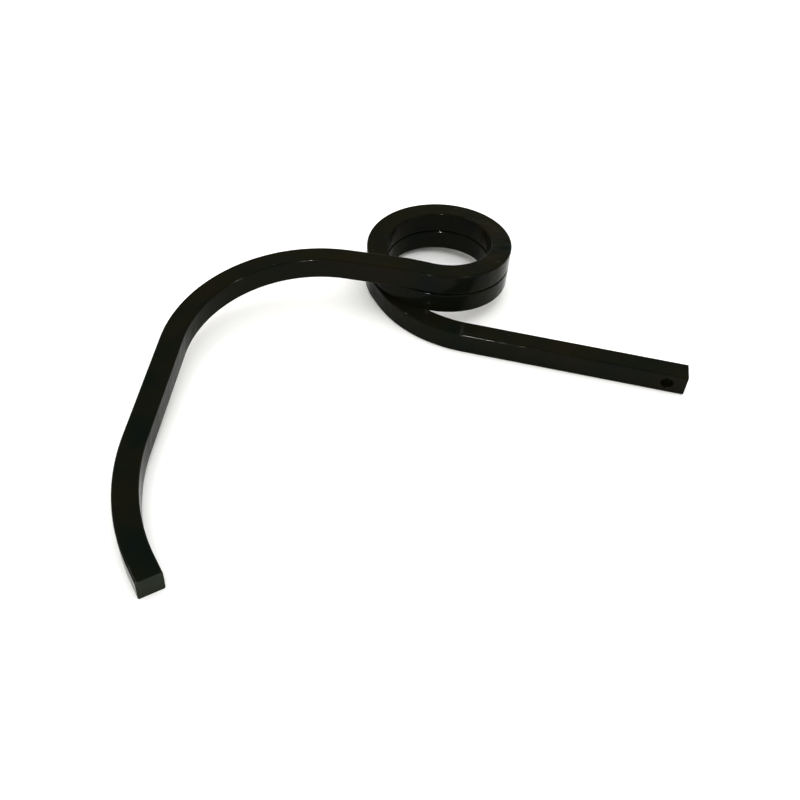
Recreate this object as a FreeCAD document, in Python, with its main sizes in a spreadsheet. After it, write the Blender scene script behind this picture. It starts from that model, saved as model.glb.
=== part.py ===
import FreeCAD, Part
import Sketcher
import math
import os

# Cultivator spring tine.  One length of square spring-steel bar: a straight shank with a bolt
# hole near its end, a bend that winds into a close coil of nearly two turns, and an arm that
# leaves the coil, arches over and hooks forward to a plain square-cut tip.  It is one solid.
#
# Frame: the tine lies on its side, as it rests on a bench, with the coil's axis along +Z.  The
# origin is the centre of the bolt hole.  +X runs along the shank to its cut end and the hole
# runs along Y.  Shank and tip end at the same level; the coil climbs from the shank to the arm.
#
# The bar's cross-section keeps two faces upright all the way, as a bar does that is wound on a
# mandrel, so its centreline is all that shapes the tine.  That line is straight runs and
# tangent arcs with one helix between them.

SIZES = (
    ("bar_side", 25.0, "across the flats of the square bar"),
    ("edge_chamfer", 1.5, "width taken off each long edge of the bar"),
    ("shank_run", 254.0, "straight part of the shank, from the cut end to the bend"),
    ("shank_bend_radius", 130.0, "centreline radius where the shank winds into the coil"),
    ("shank_bend_angle", 50.5, "degrees turned by that bend"),
    ("coil_radius", 75.0, "centreline radius of the coil"),
    ("coil_pitch", 26.0, "climb of the centreline in one turn"),
    ("coil_and_bend_angle", 720.0, "degrees turned by the coil and the shank bend together"),
    ("level_easing_radius", 350.0, "gentle upright arc where the bar leaves the coil's climb"),
    ("arm_fall_angle", 3.3, "degrees that the arm falls as it leaves the coil"),
    ("arm_lead_run", 57.0, "straight part between the coil and the arch"),
    ("arch_radius", 150.0, "centreline radius of the arm's arch"),
    ("arch_angle", 97.0, "degrees turned by the arch"),
    ("arm_run", 135.0, "straight part between the arch and the hook"),
    ("hook_radius", 225.0, "centreline radius of the hooked end"),
    ("hook_angle", 36.5, "degrees turned by the hook"),
    ("tip_run", 20.0, "straight part at the tip"),
    ("hole_diameter", 14.0, "bolt hole through the shank, clear of a 12 mm bolt"),
    ("hole_end_distance", 21.0, "hole centre to the shank's cut end"),
    ("hole_mouth_rounding", 1.2, "rounded rim where the punched hole meets the bar's faces"),
)

UP = FreeCAD.Vector(0, 0, 1)


def make_sheet(doc):
    """Spreadsheet of the driving sizes: name, value and meaning, the value's alias being its name."""
    sheet = doc.addObject("Spreadsheet::Sheet", "Sizes")
    for row, (name, value, meaning) in enumerate(SIZES, start=1):
        sheet.set(f"A{row}", name)
        sheet.set(f"B{row}", str(value))
        sheet.setAlias(f"B{row}", name)
        sheet.set(f"C{row}", meaning)
    doc.recompute()
    return sheet


class Walk:
    """A line drawn by walking: each step starts where the last one ended, in its direction."""

    def __init__(self, start, heading):
        self.place = start
        self.heading = heading.normalize()
        self.edges = []

    def run(self, length):
        """Go straight on."""
        end = self.place + self.heading * length
        self.edges.append(Part.LineSegment(self.place, end).toShape())
        self.place = end

    def turn(self, radius, degrees, side):
        """Go round an arc of this radius that bends towards side, a direction across the heading."""
        across = (side - self.heading * side.dot(self.heading)).normalize()
        centre = self.place + across * radius

        def at(angle):
            return centre - across * (radius * math.cos(angle)) + self.heading * (radius * math.sin(angle))

        whole = math.radians(degrees)
        self.edges.append(Part.Arc(self.place, at(whole / 2), at(whole)).toShape())
        self.place = at(whole)
        self.heading = self.heading * math.cos(whole) + across * math.sin(whole)

    def climb(self, radius, pitch, degrees):
        """Go round a clockwise helix that climbs by pitch each turn, its axis upright."""
        level = FreeCAD.Vector(self.heading.x, self.heading.y, 0).normalize()
        outward = UP.cross(level) * radius
        axis = self.place - outward
        rise = pitch * degrees / 360
        helix = Part.makeLongHelix(pitch, rise, radius, 0, True)
        bearing = math.degrees(math.atan2(outward.y, outward.x))
        helix.Placement = FreeCAD.Placement(axis, FreeCAD.Rotation(UP, bearing))
        self.edges.extend(helix.Edges)
        ahead = FreeCAD.Rotation(UP, -degrees)
        self.place = axis + ahead.multVec(outward) + UP * rise
        self.heading = ahead.multVec(level * (2 * math.pi * radius) + UP * pitch).normalize()


def flat_reach(sizes):
    """How far the tip lies from the start of the arm's lead run, along that run and square to it."""
    arch = math.radians(sizes.arch_angle)
    whole = arch + math.radians(sizes.hook_angle)
    along = (sizes.arm_lead_run + sizes.arch_radius * math.sin(arch) + sizes.arm_run * math.cos(arch)
             + sizes.hook_radius * (math.sin(whole) - math.sin(arch)) + sizes.tip_run * math.cos(whole))
    aside = (sizes.arch_radius * (1 - math.cos(arch)) + sizes.arm_run * math.sin(arch)
             + sizes.hook_radius * (math.cos(arch) - math.cos(whole)) + sizes.tip_run * math.sin(whole))
    return along, aside


def centreline(sizes):
    """The bar's centreline as one wire, from the shank's cut end to the tip."""
    climb_angle = math.degrees(math.atan2(sizes.coil_pitch, 2 * math.pi * sizes.coil_radius))
    walk = Walk(FreeCAD.Vector(sizes.hole_end_distance, 0, 0), FreeCAD.Vector(-1, 0, 0))
    shank_level = walk.place.z

    # The shank, its bend and the coil, all turning clockwise seen from above.
    walk.run(sizes.shank_run)
    walk.turn(sizes.shank_bend_radius, sizes.shank_bend_angle, UP.cross(walk.heading) * -1)
    walk.turn(sizes.level_easing_radius, climb_angle, UP)
    walk.climb(sizes.coil_radius, sizes.coil_pitch, sizes.coil_and_bend_angle - sizes.shank_bend_angle)

    # The arm bends anticlockwise and lies in one flat plane.  It starts down that plane at its
    # fall angle, and the plane tilts sideways by just what brings the tip to the shank's level.
    walk.turn(sizes.level_easing_radius, climb_angle + sizes.arm_fall_angle, UP * -1)
    along, aside = flat_reach(sizes)
    fall = math.radians(sizes.arm_fall_angle)
    left_rise = (shank_level - walk.place.z + along * math.sin(fall)) / aside
    left = UP.cross(walk.heading).normalize()
    square_up = walk.heading.cross(left)
    tilt = math.asin(left_rise / square_up.z)
    plane_left = left * math.cos(tilt) + square_up * math.sin(tilt)
    plane_up = walk.heading.cross(plane_left)
    walk.run(sizes.arm_lead_run)
    walk.turn(sizes.arch_radius, sizes.arch_angle, plane_left)
    walk.run(sizes.arm_run)
    walk.turn(sizes.hook_radius, sizes.hook_angle, plane_up.cross(walk.heading))
    walk.run(sizes.tip_run)
    return Part.Wire(walk.edges)


def origin_plane(body, role):
    """The body's own origin plane with this role."""
    return next(plane for plane in body.Origin.OriginFeatures if plane.Role == role)


def path_in_body(doc, body, name, wire):
    """Keep this wire in the document and bring it into the body, for a sweep to follow."""
    line = doc.addObject("Part::Feature", name)
    line.Shape = wire
    binder = body.newObject("PartDesign::SubShapeBinder", name + "InBody")
    binder.Support = [(line, "")]
    doc.recompute()
    return binder, [f"Edge{number}" for number in range(1, len(wire.Edges) + 1)]


def bar_section(body, sizes):
    """Square with its corners taken off, drawn upright across the shank's cut end."""
    sketch = body.newObject("Sketcher::SketchObject", "BarSection")
    sketch.AttachmentSupport = [(origin_plane(body, "YZ_Plane"), "")]
    sketch.MapMode = "FlatFace"
    sketch.setExpression(".AttachmentOffset.Base.z", "Sizes.hole_end_distance")

    # Lines 0, 2, 4 and 6 are the sides, anticlockwise from the top one, and the line after each
    # side is the corner that follows it.
    half = sizes.bar_side / 2
    inner = half - sizes.edge_chamfer
    side_start = FreeCAD.Vector(inner, half, 0)
    side_end = FreeCAD.Vector(-inner, half, 0)
    quarter = FreeCAD.Rotation(FreeCAD.Vector(0, 0, 1), 90)
    points = []
    for _ in range(4):
        points += [side_start, side_end]
        side_start, side_end = quarter.multVec(side_start), quarter.multVec(side_end)
    sketch.addGeometry([Part.LineSegment(points[n - 1], points[n]) for n in range(1, 8)], False)
    sketch.addGeometry(Part.LineSegment(points[7], points[0]), False)

    for line in range(8):
        sketch.addConstraint(Sketcher.Constraint("Coincident", line, 2, (line + 1) % 8, 1))
    for side in (0, 4):
        sketch.addConstraint(Sketcher.Constraint("Horizontal", side))
        sketch.addConstraint(Sketcher.Constraint("Vertical", side + 2))
    for corner in (3, 5, 7):
        sketch.addConstraint(Sketcher.Constraint("Perpendicular", corner - 2, corner))
        sketch.addConstraint(Sketcher.Constraint("Equal", 1, corner))
    sketch.addConstraint(Sketcher.Constraint("Angle", 1, math.radians(225)))
    sketch.addConstraint(Sketcher.Constraint("Equal", 0, 2))
    sketch.addConstraint(Sketcher.Constraint("Symmetric", 0, 1, 4, 1, -1, 1))
    height = sketch.addConstraint(Sketcher.Constraint("DistanceY", 4, 1, 0, 1, sizes.bar_side))
    corner_width = sketch.addConstraint(Sketcher.Constraint("DistanceX", 1, 2, 1, 1, sizes.edge_chamfer))
    sketch.setExpression(f"Constraints[{height}]", "Sizes.bar_side")
    sketch.setExpression(f"Constraints[{corner_width}]", "Sizes.edge_chamfer")
    return sketch


def sweep_bar(doc, body, sizes):
    """The whole bar: its section swept along the centreline, kept upright by a line above it."""
    wire = centreline(sizes)
    above = wire.copy()
    above.translate(UP * sizes.bar_side)
    path, path_edges = path_in_body(doc, body, "Centreline", wire)
    guide, guide_edges = path_in_body(doc, body, "UprightGuide", above)
    bar = body.newObject("PartDesign::AdditivePipe", "Bar")
    bar.Profile = bar_section(body, sizes)
    bar.Spine = (path, path_edges)
    bar.Mode = "Auxiliary"
    bar.AuxiliarySpine = (guide, guide_edges)
    bar.AuxiliaryCurvilinear = True
    doc.recompute()
    return bar


def bolt_hole(doc, body, sizes):
    """Punched hole through the shank from side to side, its rims rounded."""
    sketch = body.newObject("Sketcher::SketchObject", "HoleCircle")
    sketch.AttachmentSupport = [(origin_plane(body, "XZ_Plane"), "")]
    sketch.MapMode = "FlatFace"
    circle = Part.Circle(FreeCAD.Vector(0, 0, 0), FreeCAD.Vector(0, 0, 1), sizes.hole_diameter / 2)
    sketch.addGeometry(circle, False)
    sketch.addConstraint(Sketcher.Constraint("Coincident", 0, 3, -1, 1))
    diameter = sketch.addConstraint(Sketcher.Constraint("Diameter", 0, sizes.hole_diameter))
    sketch.setExpression(f"Constraints[{diameter}]", "Sizes.hole_diameter")

    hole = body.newObject("PartDesign::Pocket", "BoltHole")
    hole.Profile = sketch
    hole.Midplane = True
    hole.setExpression("Length", "Sizes.bar_side * 2")
    doc.recompute()

    rims = [
        f"Edge{number}"
        for number, edge in enumerate(hole.Shape.Edges, start=1)
        if isinstance(edge.Curve, Part.Circle)
        and abs(edge.Curve.Radius - sizes.hole_diameter / 2) < 1e-6
        and abs(edge.Curve.Axis.y) > 0.99
    ]
    mouth = body.newObject("PartDesign::Fillet", "HoleMouths")
    mouth.Base = (hole, rims)
    mouth.setExpression("Radius", "Sizes.hole_mouth_rounding")
    doc.recompute()
    return hole, mouth


def check(doc, body, bar, hole, sizes):
    """Stop if anything failed to build, or has the wrong amount of steel."""
    for thing in doc.Objects:
        if "Invalid" in thing.State or "Error" in thing.State:
            raise RuntimeError(f"{thing.Label} failed to build")
    if body.Shape.isNull() or not body.Shape.isValid() or len(body.Shape.Solids) != 1:
        raise RuntimeError("the tine isn't one valid solid")
    section = sizes.bar_side ** 2 - 2 * sizes.edge_chamfer ** 2
    expected = section * centreline(sizes).Length
    if abs(bar.Shape.Volume - expected) > 0.01 * expected:
        raise RuntimeError("the bar's volume isn't its section times its length")
    bored = math.pi / 4 * sizes.hole_diameter ** 2 * sizes.bar_side
    if abs(bar.Shape.Volume - hole.Shape.Volume - bored) > 0.01 * bored:
        raise RuntimeError("the bolt hole didn't go through")


doc = FreeCAD.newDocument("SpringTine")
sizes = make_sheet(doc)
tine = doc.addObject("PartDesign::Body", "tine")
tine.Label = "tine"
bar = sweep_bar(doc, tine, sizes)
hole, mouth = bolt_hole(doc, tine, sizes)
tine.Tip = mouth
tine.Placement = FreeCAD.Placement()
doc.recompute()
check(doc, tine, bar, hole, sizes)

os.makedirs("parts", exist_ok=True)
tine.Shape.exportStep("parts/tine.step")
box = tine.Shape.BoundBox
print(f"tine: {box.XLength:.1f} x {box.YLength:.1f} x {box.ZLength:.1f} mm,"
      f" {tine.Shape.Volume / 1000:.1f} cubic cm, {len(tine.Shape.Faces)} faces")
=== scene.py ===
# %% [markdown]
# # A cultivator spring tine in black enamel
#
# The real tine is one length of square spring-steel bar, wound hot round a mandrel and dipped in
# black enamel. Three things make its looks: the way the bar runs, the soft corners that the rolling
# mill leaves on it, and a dark gloss coat that is never quite even. So this lesson carries one skin
# along the bar's centreline, bores the bolt hole, and then paints it.
#
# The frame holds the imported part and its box. Everything below is in metres in that same frame: the
# origin is the middle of the bolt hole, X runs along the shank to its cut end, and Z points up from
# the bench that the tine lies on.

# %% Load the frame
import math

import bpy
import numpy as np
from mathutils import Matrix, Vector


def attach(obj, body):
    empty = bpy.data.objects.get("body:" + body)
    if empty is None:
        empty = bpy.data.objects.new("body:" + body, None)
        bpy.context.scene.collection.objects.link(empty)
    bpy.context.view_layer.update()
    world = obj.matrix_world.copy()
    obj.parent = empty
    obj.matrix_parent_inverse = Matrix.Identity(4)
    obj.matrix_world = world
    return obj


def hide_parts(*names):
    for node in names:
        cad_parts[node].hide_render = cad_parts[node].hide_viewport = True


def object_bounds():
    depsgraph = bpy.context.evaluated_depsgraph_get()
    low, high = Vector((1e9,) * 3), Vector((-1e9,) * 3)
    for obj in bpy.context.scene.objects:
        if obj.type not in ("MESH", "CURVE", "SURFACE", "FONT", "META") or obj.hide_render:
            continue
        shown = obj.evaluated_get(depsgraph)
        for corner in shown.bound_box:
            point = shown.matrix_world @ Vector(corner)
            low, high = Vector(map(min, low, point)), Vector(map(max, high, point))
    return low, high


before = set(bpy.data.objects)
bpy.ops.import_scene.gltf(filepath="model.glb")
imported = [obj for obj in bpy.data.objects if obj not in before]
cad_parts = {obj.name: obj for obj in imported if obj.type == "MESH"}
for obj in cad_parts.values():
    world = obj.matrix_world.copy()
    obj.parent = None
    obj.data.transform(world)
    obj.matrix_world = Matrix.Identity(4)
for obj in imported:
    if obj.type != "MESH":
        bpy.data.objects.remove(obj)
cad_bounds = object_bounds()
print("frame box", [[round(value, 4) for value in corner] for corner in cad_bounds])

# %% [markdown]
# ## The sizes of the bar
#
# A bent bar is drawn by its centreline. Each bend is given by its centreline radius and the angle it
# turns, and each straight by its length. The coil and the shank's bend turn two full turns together,
# so the coil's own angle follows from the bend's.

# %% Driving sizes, in metres and degrees
BAR_SIDE = 0.025
EDGE_RADIUS = 0.002
SHANK_RUN = 0.254
SHANK_BEND_RADIUS = 0.130
SHANK_BEND_ANGLE = 50.5
COIL_RADIUS = 0.075
COIL_PITCH = 0.026
COIL_ANGLE = 720 - SHANK_BEND_ANGLE
EASING_RADIUS = 0.350
ARM_FALL_ANGLE = 3.3
ARM_LEAD_RUN = 0.057
ARCH_RADIUS = 0.150
ARCH_ANGLE = 97.0
ARM_RUN = 0.135
HOOK_RADIUS = 0.225
HOOK_ANGLE = 36.5
TIP_RUN = 0.020
HOLE_RADIUS = 0.007
HOLE_MOUTH = 0.0012
HOLE_END_DISTANCE = 0.021
print("coil outside", 2 * COIL_RADIUS + BAR_SIDE, "inside", 2 * COIL_RADIUS - BAR_SIDE)

# %% [markdown]
# ## The centreline
#
# The bar is straight runs, tangent arcs and, through the coil, a helix. A curve object could carry a
# bevel along such a path, but it would twist the square section as the coil climbs. So the path is
# worked out as arrays of points and directions, and the section is set on it afterwards. Each step
# starts where the last one ended, which is how a bar is bent: one bend after another.

# %% Steps along the bar
UP = np.array([0.0, 0.0, 1.0])
STATION = 0.0025  # distance between rings: at the coil's radius a step this long bulges only 0.01 mm


def unit(vector):
    """The vector divided by its length."""
    return vector / np.linalg.norm(vector)


def spaced(length):
    """Distances in equal steps near STATION up to length, without the 0 that the last step had."""
    count = max(2, math.ceil(length / STATION))
    return np.linspace(0, length, count + 1)[1:]


def run(place, heading, length):
    """Straight on: place + heading * s."""
    s = spaced(length)[:, None]
    return place + heading * s, np.repeat(heading[None], len(s), axis=0)


def turn(place, heading, radius, degrees, side):
    """Arc towards side: place + across * r (1 - cos a) + heading * r sin a, with a from 0 to the turn."""
    across = unit(side - heading * side.dot(heading))
    angle = (spaced(radius * math.radians(degrees)) / radius)[:, None]
    points = place + across * radius * (1 - np.cos(angle)) + heading * radius * np.sin(angle)
    return points, heading * np.cos(angle) + across * np.sin(angle)


def climb(place, heading, radius, pitch, degrees):
    """Clockwise helix: place - outward r + spoke r + up pitch a / 2 pi, spoke turning by angle a."""
    level = unit(heading * (1, 1, 0))
    outward = np.cross(UP, level)
    angle = (spaced(radius * math.radians(degrees)) / radius)[:, None]
    spoke = outward * np.cos(angle) + level * np.sin(angle)
    points = place - outward * radius + spoke * radius + UP * pitch * angle / (2 * math.pi)
    tangents = (level * np.cos(angle) - outward * np.sin(angle)) * radius + UP * pitch / (2 * math.pi)
    return points, tangents / np.linalg.norm(tangents, axis=1)[:, None]


print("rings on one turn of the coil", len(spaced(2 * math.pi * COIL_RADIUS)))

# %% [markdown]
# ## The arm's plane
#
# The arm lies in one flat plane. It leaves the coil falling a little, and the plane is tilted
# sideways by just as much as brings the tip down to the level of the shank, so that a tine laid on
# its side touches the bench with both. The tilt could be set by eye, but worked out like this it
# stays right when any radius or angle changes.

# %% How far the arm reaches
def arm_reach():
    """How far the tip lies from the start of the lead run, along that run and square to it."""
    arch = math.radians(ARCH_ANGLE)
    whole = arch + math.radians(HOOK_ANGLE)
    along = (ARM_LEAD_RUN + ARCH_RADIUS * math.sin(arch) + ARM_RUN * math.cos(arch)
             + HOOK_RADIUS * (math.sin(whole) - math.sin(arch)) + TIP_RUN * math.cos(whole))
    aside = (ARCH_RADIUS * (1 - math.cos(arch)) + ARM_RUN * math.sin(arch)
             + HOOK_RADIUS * (math.cos(arch) - math.cos(whole)) + TIP_RUN * math.sin(whole))
    return along, aside


print("arm reach", [round(reach, 4) for reach in arm_reach()])

# %% [markdown]
# ## Bending the whole bar
#
# The steps now run in the order of the real bar, from the shank's cut end to the tip. Short upright
# arcs ease the bar into the coil's climb and out of it again, because steel has no kinks there.

# %% The whole centreline
def centreline():
    """Points and unit tangents from the shank's cut end to the tip, as two arrays."""
    start = np.array([HOLE_END_DISTANCE, 0.0, 0.0])
    points, tangents = [start[None]], [np.array([[-1.0, 0.0, 0.0]])]

    def go(step, *sizes):
        new_points, new_tangents = step(points[-1][-1], tangents[-1][-1], *sizes)
        points.append(new_points)
        tangents.append(new_tangents)

    climb_angle = math.degrees(math.atan2(COIL_PITCH, 2 * math.pi * COIL_RADIUS))
    go(run, SHANK_RUN)
    go(turn, SHANK_BEND_RADIUS, SHANK_BEND_ANGLE, -np.cross(UP, tangents[-1][-1]))
    go(turn, EASING_RADIUS, climb_angle, UP)
    go(climb, COIL_RADIUS, COIL_PITCH, COIL_ANGLE)
    go(turn, EASING_RADIUS, climb_angle + ARM_FALL_ANGLE, -UP)

    along, aside = arm_reach()
    heading = tangents[-1][-1]
    left = unit(np.cross(UP, heading))
    square_up = np.cross(heading, left)
    left_rise = (start[2] - points[-1][-1][2] + along * math.sin(math.radians(ARM_FALL_ANGLE))) / aside
    tilt = math.asin(left_rise / square_up[2])
    plane_up = np.cross(heading, left * math.cos(tilt) + square_up * math.sin(tilt))
    go(run, ARM_LEAD_RUN)
    go(turn, ARCH_RADIUS, ARCH_ANGLE, np.cross(plane_up, tangents[-1][-1]))
    go(run, ARM_RUN)
    go(turn, HOOK_RADIUS, HOOK_ANGLE, np.cross(plane_up, tangents[-1][-1]))
    go(run, TIP_RUN)
    return np.concatenate(points), np.concatenate(tangents)


line, headings = centreline()
print("bar length", round(float(np.linalg.norm(np.diff(line, axis=0), axis=1).sum()), 4))

# %% [markdown]
# ## The bar's section
#
# Hot-rolled square bar has flat sides and soft corners of about 2 mm, which are what catches the
# light. A Bevel modifier could round them, but the section is known, so it is simply walked once
# round as an array: each side is a few points, then a quarter circle. The points just inside a
# side's ends keep the shading of the flat apart from the shading of the corner.

# %% Section
CORNER_STEPS = 6
SIDE_PLACES = np.array([-1.0, -0.97, -0.6, -0.2, 0.2, 0.6, 0.97])  # shares of half the flat


def bar_section():
    """Rounded square, anticlockwise: a flat at half the side, then a quarter circle about its end."""
    half = BAR_SIDE / 2
    inner = half - EDGE_RADIUS
    angle = np.linspace(0, math.pi / 2, CORNER_STEPS + 1)[:-1]
    flat = np.column_stack([np.full(len(SIDE_PLACES), half), SIDE_PLACES * inner])
    corner = np.column_stack([inner + EDGE_RADIUS * np.cos(angle), inner + EDGE_RADIUS * np.sin(angle)])
    quarter = np.concatenate([flat, corner])
    turns = np.arange(4) * math.pi / 2
    spin = np.stack([np.cos(turns), -np.sin(turns), np.sin(turns), np.cos(turns)], axis=-1).reshape(4, 2, 2)
    return np.einsum("kij,nj->kni", spin, quarter).reshape(-1, 2)


section = bar_section()
print("section points", len(section))

# %% [markdown]
# ## The skin
#
# The section is set at every station of the centreline. Its first axis points sideways and stays
# level, and its second is square to that and to the line, so the bar never twists. That gives a
# grid of rings by section points, quads join each ring to the next, and one flat face closes each
# end, as the shears leave it.

# %% Skin along the line
def set_on_line(points, tangents, outline):
    """Grid of points: place + sideways * u + upright * v, for each station and section point."""
    sideways = np.cross(tangents, UP)
    sideways /= np.linalg.norm(sideways, axis=1)[:, None]
    upright = np.cross(sideways, tangents)
    return (points[:, None] + sideways[:, None] * outline[None, :, :1]
            + upright[:, None] * outline[None, :, 1:])


def tube_mesh(name, grid):
    """Closed mesh of a grid of rings: quads between rings, and one face over each end."""
    rings, around = grid.shape[:2]
    ring = np.arange(rings - 1)[:, None] * around
    here = np.arange(around)[None]
    ahead = (here + 1) % around
    quads = np.stack([ring + here, ring + ahead, ring + around + ahead, ring + around + here], axis=-1)
    first = np.arange(around)[::-1].tolist()
    last = ((rings - 1) * around + np.arange(around)).tolist()
    mesh = bpy.data.meshes.new(name)
    mesh.from_pydata(grid.reshape(-1, 3).tolist(), [], quads.reshape(-1, 4).tolist() + [first, last])
    mesh.validate()
    return mesh


bar_mesh = tube_mesh("enamelled_bar", set_on_line(line, headings, section))
bar = bpy.data.objects.new("enamelled_bar", bar_mesh)
bpy.context.collection.objects.link(bar)
print("bar faces", len(bar_mesh.polygons))

# %% [markdown]
# ## The bolt hole
#
# The hole is punched, so its rim is drawn in and round instead of sharp. It could be woven into the
# grid, but that would spoil the even rings. A cutter shaped like a spool does it in one go: straight
# through the bar, and flaring by a quarter circle where it meets each face. A Boolean takes it away
# and leaves the bore and its soft mouths. Edges sharper than 40 degrees, which are only the cut
# ends' own, stay crisp.

# %% Hole cutter
MOUTH_STEPS = 6
HOLE_STEPS = 48
CUTTER_PROUD = 0.004
CRISP_ANGLE = math.radians(40)


def spool(radius, mouth, half_length, proud):
    """Turned about Y: radius + mouth (1 - cos a) at half_length - mouth + mouth sin a, both ways."""
    angle = np.linspace(0, math.pi / 2, MOUTH_STEPS + 1)
    distance = np.concatenate([half_length - mouth + mouth * np.sin(angle), [half_length + proud]])
    widths = np.concatenate([radius + mouth * (1 - np.cos(angle)), [radius + mouth]])
    distance = np.concatenate([-distance[::-1], distance])
    widths = np.concatenate([widths[::-1], widths])
    around = np.linspace(0, 2 * math.pi, HOLE_STEPS, endpoint=False)
    return np.stack([widths[:, None] * np.cos(around), np.repeat(distance[:, None], HOLE_STEPS, axis=1),
                     -widths[:, None] * np.sin(around)], axis=-1)


print("hole across", 2 * HOLE_RADIUS, "and its mouth", 2 * (HOLE_RADIUS + HOLE_MOUTH))

# %% Bore the hole
cutter_mesh = tube_mesh("hole_spool", spool(HOLE_RADIUS, HOLE_MOUTH, BAR_SIDE / 2, CUTTER_PROUD))
cutter = bpy.data.objects.new("hole_spool", cutter_mesh)
bpy.context.collection.objects.link(cutter)
bore = bar.modifiers.new("bolt_hole", "BOOLEAN")
bore.operation = "DIFFERENCE"
bore.solver = "EXACT"
bore.object = cutter
bored_mesh = bpy.data.meshes.new_from_object(bar.evaluated_get(bpy.context.evaluated_depsgraph_get()))
bar.modifiers.clear()
bar.data = bored_mesh
bored_mesh.name = "enamelled_bar"
bpy.data.objects.remove(cutter)
bpy.data.meshes.remove(cutter_mesh)
bpy.data.meshes.remove(bar_mesh)
bored_mesh.shade_smooth()
bored_mesh.set_sharp_from_angle(angle=CRISP_ANGLE)
print("bored faces", len(bored_mesh.polygons))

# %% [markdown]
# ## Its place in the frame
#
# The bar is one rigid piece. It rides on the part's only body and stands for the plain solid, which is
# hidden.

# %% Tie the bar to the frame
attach(bar, "root")
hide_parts("tine")
print("riding on root:", bar.name)

# %% [markdown]
# ## Colours and nodes
#
# Two small helpers serve every material here. Paint charts and screens give colours as sRGB hex,
# while the renderer adds up light, so one function turns hex to linear. The other adds a node with
# its settings and its links in one line, which keeps a material as short as its description.

# %% Colour and node helpers
def linear(hex_colour):
    """sRGB hex to linear: c / 12.92 below 0.04045, else ((c + 0.055) / 1.055) ** 2.4."""
    channels = np.array([int(hex_colour[i:i + 2], 16) for i in (1, 3, 5)]) / 255
    curve = np.where(channels <= 0.04045, channels / 12.92, ((channels + 0.055) / 1.055) ** 2.4)
    return (*curve.tolist(), 1.0)


def add_node(tree, kind, settings=None, **links):
    """A node of this kind: settings set its properties or sockets, links join its inputs."""
    node = tree.nodes.new(kind)
    for key, value in (settings or {}).items():
        if key in node.inputs:
            node.inputs[key].default_value = value
        else:
            setattr(node, key, value)
    for key, source in links.items():
        tree.links.new(source, node.inputs[key.replace("_", " ")])
    return node


print("mid grey is linear", round(linear("#808080")[0], 3))

# %% [markdown]
# ## Black enamel
#
# The tine is dipped in black stoving enamel, a baked alkyd paint. It flows out to a gloss, but it
# is thin and follows the steel, so three reliefs lie over one another: waves a centimetre or so
# long from rolling and coiling, the paint's own orange peel, and now and then a nib where dust or a
# bead of paint has dried in. One bump each, in that order, bends the reflections and breaks the
# light on the edges into separate glints. They could be cut in the mesh, but they are some tenths
# of a millimetre deep at most, far too fine to change the outline.
#
# Black enamel isn't one black either. Where it lies thick it leans to blue-green, and where it is
# thin it is warmer and a little brown. One slow noise mixes the three tones, and the same noise
# makes the thin places slightly duller.

# %% Sizes of the enamel's patterns, in metres
TONE_PATCH = 0.045
ROLLED_WAVE = 0.014
ROLLED_WAVE_DEPTH = 0.0005
ORANGE_PEEL = 0.0035  # real orange peel is 1 to 3 mm; this is the finest that still shows
ORANGE_PEEL_DEPTH = 0.00003
NIB_SPACING = 0.018
NIB_RADIUS = 0.0014
NIB_HEIGHT = 0.0006
ENAMEL_IOR = 1.5  # cured alkyd resin
ENAMEL_SPECULAR = 0.05  # far below a gloss paint's 0.5, to match how very dark this coat looks
print("noise scales", round(1 / TONE_PATCH), round(1 / ROLLED_WAVE), round(1 / ORANGE_PEEL))


# %% Tone and relief of the enamel
def enamel_tone(tree, patches, tones):
    """Colour ramp over the slow noise: thick blue-green, then olive, then thin brown black."""
    ramp = add_node(tree, "ShaderNodeValToRGB", Fac=patches)
    ramp.color_ramp.interpolation = "B_SPLINE"
    stops = ramp.color_ramp.elements
    stops[0].position, stops[0].color = 0.25, linear(tones[0])
    stops[1].position, stops[1].color = 0.85, linear(tones[2])
    olive = stops.new(0.50)
    olive.color = linear(tones[1])
    return ramp.outputs["Color"]


def enamel_relief(tree, place):
    """Normal after three bumps in a row: rolled waves, orange peel, and round nibs."""
    wave = add_node(tree, "ShaderNodeTexNoise", {"Scale": 1 / ROLLED_WAVE, "Detail": 1.0}, Vector=place)
    peel = add_node(tree, "ShaderNodeTexNoise", {"Scale": 1 / ORANGE_PEEL, "Detail": 2.0}, Vector=place)
    cells = add_node(tree, "ShaderNodeTexVoronoi", {"Scale": 1 / NIB_SPACING, "Randomness": 1.0},
                     Vector=place)
    nib = add_node(tree, "ShaderNodeMapRange", {
        "interpolation_type": "SMOOTHSTEP", "From Min": 0.0, "From Max": NIB_RADIUS / NIB_SPACING,
        "To Min": 1.0, "To Max": 0.0}, Value=cells.outputs["Distance"])
    waved = add_node(tree, "ShaderNodeBump", {"Distance": ROLLED_WAVE_DEPTH}, Height=wave.outputs["Fac"])
    peeled = add_node(tree, "ShaderNodeBump", {"Distance": ORANGE_PEEL_DEPTH},
                      Height=peel.outputs["Fac"], Normal=waved.outputs["Normal"])
    nibbed = add_node(tree, "ShaderNodeBump", {"Distance": NIB_HEIGHT},
                      Height=nib.outputs["Result"], Normal=peeled.outputs["Normal"])
    return nibbed.outputs["Normal"]


print("nib height over radius", round(NIB_HEIGHT / NIB_RADIUS, 2))


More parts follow.
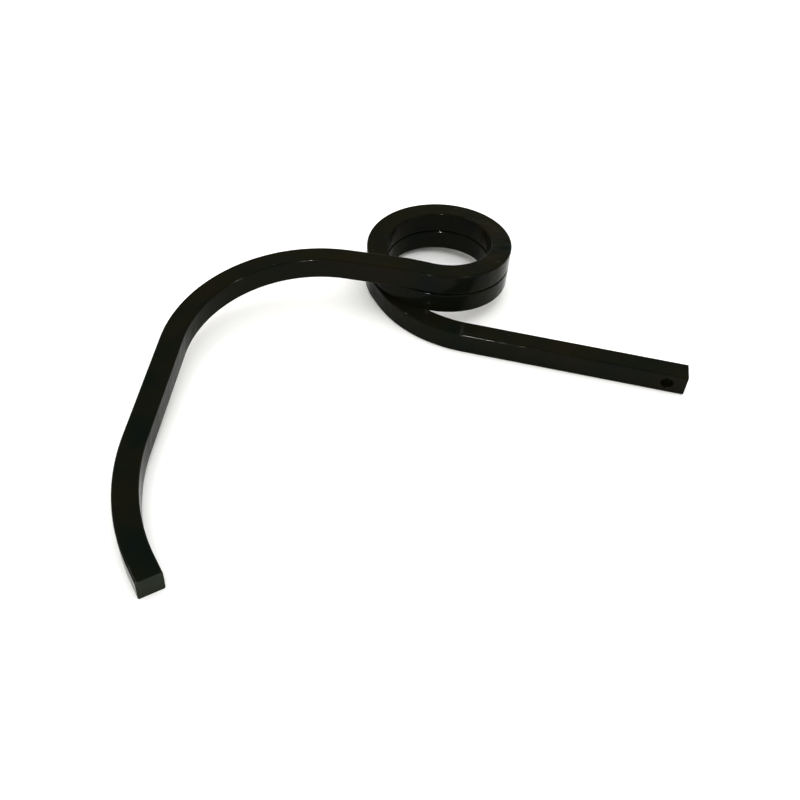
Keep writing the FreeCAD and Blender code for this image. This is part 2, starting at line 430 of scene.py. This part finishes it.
# %% Enamel material
def black_enamel(name, tones, roughness):
    """Stoved black enamel over steel: tone and roughness from one slow noise, relief from three."""
    material = bpy.data.materials.new(name)
    material.use_nodes = True
    tree = material.node_tree
    tree.nodes.clear()
    place = add_node(tree, "ShaderNodeTexCoord").outputs["Object"]
    slow = add_node(tree, "ShaderNodeTexNoise", {"Scale": 1 / TONE_PATCH, "Detail": 3.0}, Vector=place)
    patches = slow.outputs["Fac"]
    gloss = add_node(tree, "ShaderNodeMapRange", {
        "From Min": 0.3, "From Max": 0.7, "To Min": roughness[0], "To Max": roughness[1]}, Value=patches)
    paint = add_node(tree, "ShaderNodeBsdfPrincipled", {
        "IOR": ENAMEL_IOR, "Specular IOR Level": ENAMEL_SPECULAR},
        Base_Color=enamel_tone(tree, patches, tones), Roughness=gloss.outputs["Result"],
        Normal=enamel_relief(tree, place))
    add_node(tree, "ShaderNodeOutputMaterial", Surface=paint.outputs["BSDF"])
    print("material", name, "with", len(tree.nodes), "nodes")
    return material


COAT_TONES = ("#0A1211", "#15160D", "#1A150C")
COAT_ROUGHNESS = (0.08, 0.17)  # a gloss coat: small lamps stay small and sharp in it
bar.data.materials.append(black_enamel("black_stoving_enamel", COAT_TONES, COAT_ROUGHNESS))

# %% [markdown]
# ## The cut tip
#
# The tip is cut square, and the rougher cut makes its end face duller than the rolled sides. Its tones
# are also a shade lighter and greener, and that is painted light: a lit copy of the enamel standing in
# for light that no lamp puts on this face. It is the same enamel with other numbers, set on the one
# face that closes the bar at the tip. The face is found by its place and by the way it points, in
# whole arrays.

# %% Painted light and finish of the cut tip
# These tones are painted light: lighter and greener than the coat's, to stand in for light on the cut end
# face.
CUT_END_PAINTED_LIGHT_TONES = ("#1B241C", "#22281F", "#262619")
CUT_ROUGHNESS = (0.30, 0.42)
SAME_WAY = 0.99  # cosine above which a face points the way the bar ends


def faces_at_end(mesh, place, way):
    """1 for each face whose middle is near place and whose normal runs along way, else 0."""
    middles = np.empty(len(mesh.polygons) * 3)
    normals = np.empty(len(mesh.polygons) * 3)
    mesh.polygons.foreach_get("center", middles)
    mesh.polygons.foreach_get("normal", normals)
    near = np.linalg.norm(middles.reshape(-1, 3) - place, axis=1) < BAR_SIDE / 4
    return (near & (normals.reshape(-1, 3) @ way > SAME_WAY)).astype(np.int32)


# The second material carries the painted light, and it goes only on the cut end face.
bar.data.materials.append(black_enamel("enamel_with_painted_light_on_cut_end", CUT_END_PAINTED_LIGHT_TONES, CUT_ROUGHNESS))
painted_light_cut_faces = faces_at_end(bar.data, line[-1], headings[-1])
bar.data.polygons.foreach_set("material_index", painted_light_cut_faces)
print("cut end faces", int(painted_light_cut_faces.sum()))

# %% [markdown]
# ## Floor
#
# A wide matt white floor lies at the part's lowest level. It is wide enough that low views never
# see its edge against the white world.

# %% Floor
FLOOR_SIZE = 60.0
FLOOR_WHITE = "#F4F4F4"
FLOOR_ROUGHNESS = 0.9
FLOOR_SPECULAR = 0.1


def flat_floor(level):
    """One square face at this level."""
    half = FLOOR_SIZE / 2
    mesh = bpy.data.meshes.new("floor")
    corners = [(-half, -half, level), (half, -half, level), (half, half, level), (-half, half, level)]
    mesh.from_pydata(corners, [], [(0, 1, 2, 3)])
    floor = bpy.data.objects.new("floor", mesh)
    bpy.context.collection.objects.link(floor)
    material = bpy.data.materials.new("white_floor")
    material.use_nodes = True
    shader = material.node_tree.nodes["Principled BSDF"]
    shader.inputs["Base Color"].default_value = linear(FLOOR_WHITE)
    shader.inputs["Roughness"].default_value = FLOOR_ROUGHNESS
    shader.inputs["Specular IOR Level"].default_value = FLOOR_SPECULAR
    mesh.materials.append(material)
    return floor


flat_floor(cad_bounds[0][2])
print("floor level", round(cad_bounds[0][2], 4))

# %% [markdown]
# ## Light
#
# A black gloss part shows its lights more than its colour, so each light has one job. A very wide
# sun, like a whole luminous ceiling, whitens the floor with hardly a shadow and is kept out of the
# reflections, where it would draw a white line along every edge. Three small lamps are seen only in
# reflections, and put the short sharp glints on the rounded edges.

# %% Lights
CENTRE = (-0.26, -0.11, 0.0)
CEILING_POWER = 4.4
CEILING_SPREAD = math.radians(110)
GLINT_LAMPS = [  # name, place, size in metres, watts
    ("glint_front", (-0.27, -0.92, 0.88), 0.04, 24.0),
    ("glint_right", (0.9, -0.5, 1.1), 0.06, 25.0),
    ("glint_left", (-1.3, -0.2, 1.2), 0.06, 10.0),
]


def luminous_ceiling():
    """A sun as wide as a ceiling, straight above, which reflections don't show."""
    light = bpy.data.lights.new("ceiling", "SUN")
    light.energy = CEILING_POWER
    light.angle = CEILING_SPREAD
    ceiling = bpy.data.objects.new("ceiling", light)
    ceiling.visible_glossy = False
    bpy.context.collection.objects.link(ceiling)


def glint_lamp(name, place, size, power):
    """Small square lamp at place, facing the part, which only reflections show."""
    light = bpy.data.lights.new(name, "AREA")
    light.size = size
    light.energy = power
    lamp = bpy.data.objects.new(name, light)
    lamp.location = place
    lamp.rotation_mode = "QUATERNION"
    lamp.rotation_quaternion = (Vector(CENTRE) - Vector(place)).to_track_quat("-Z", "Y")
    lamp.visible_diffuse = False
    bpy.context.collection.objects.link(lamp)


luminous_ceiling()
for lamp_sizes in GLINT_LAMPS:
    glint_lamp(*lamp_sizes)
print("lights", len(bpy.data.lights))

# %% [markdown]
# ## World
#
# The world is what the flat faces mirror. It is white at eye level, so that every view ends in a
# pale background. Higher up, where the upper faces look, it is warm and dim, which gives them their
# olive black, and it is nearly dark overhead.

# %% World
WORLD_SHADES = [(0.30, "#FFFFFF"), (0.48, "#9A9680"), (0.70, "#9A9680"), (0.82, "#303438")]


def studio_world():
    """Shade by the height of each direction, which is the sine of its elevation."""
    world = bpy.data.worlds.new("studio")
    world.use_nodes = True
    tree = world.node_tree
    tree.nodes.clear()
    way = add_node(tree, "ShaderNodeTexCoord").outputs["Generated"]
    height = add_node(tree, "ShaderNodeSeparateXYZ", Vector=way).outputs["Z"]
    shade = add_node(tree, "ShaderNodeValToRGB", Fac=height)
    stops = shade.color_ramp.elements
    stops[0].position, stops[0].color = WORLD_SHADES[0][0], linear(WORLD_SHADES[0][1])
    stops[1].position, stops[1].color = WORLD_SHADES[-1][0], linear(WORLD_SHADES[-1][1])
    for position, colour in WORLD_SHADES[1:-1]:
        stops.new(position).color = linear(colour)
    glow = add_node(tree, "ShaderNodeBackground", Color=shade.outputs["Color"])
    add_node(tree, "ShaderNodeOutputWorld", Surface=glow.outputs["Background"])
    return world


bpy.context.scene.world = studio_world()
print("world shades", len(WORLD_SHADES))

# %% [markdown]
# ## Tone
#
# The standard view keeps the floor white. A gamma a little under one deepens the blacks, as the
# curve of a product picture does, and leaves white alone.

# %% Tone
VIEW_GAMMA = 0.88
bpy.context.scene.view_settings.view_transform = "Standard"
bpy.context.scene.view_settings.gamma = VIEW_GAMMA
print("view", bpy.context.scene.view_settings.view_transform, VIEW_GAMMA)

# %% [markdown]
# ## Camera
#
# The camera looks down on the tine from in front of the shank, about 44 degrees below level, and is
# rolled a few degrees. Its place, target and roll are all that is set. The directions of its own
# axes are worked out from them and written into one matrix.

# %% Camera
CAMERA_PLACE = np.array([-0.17933, -0.80176, 0.66545])
CAMERA_TARGET = np.array([-0.2842, -0.1102, -0.0125])
CAMERA_ROLL = math.radians(5.39)
LENS = 40.37
SENSOR_WIDTH = 36.0


def place_camera():
    """Camera at its place, looking at the target and rolled about its line of sight."""
    ahead = unit(CAMERA_TARGET - CAMERA_PLACE)
    level_right = unit(np.cross(ahead, UP))
    level_top = np.cross(level_right, ahead)
    right = level_right * math.cos(CAMERA_ROLL) + level_top * math.sin(CAMERA_ROLL)
    axes = np.eye(4)
    axes[:3] = np.column_stack([right, np.cross(right, ahead), -ahead, CAMERA_PLACE])
    camera = bpy.data.objects.new("camera", bpy.data.cameras.new("camera"))
    camera.data.lens = LENS
    camera.data.sensor_width = SENSOR_WIDTH
    camera.matrix_world = Matrix(axes.tolist())
    bpy.context.collection.objects.link(camera)
    return camera


bpy.context.scene.camera = place_camera()
print("camera distance", round(float(np.linalg.norm(CAMERA_TARGET - CAMERA_PLACE)), 3))
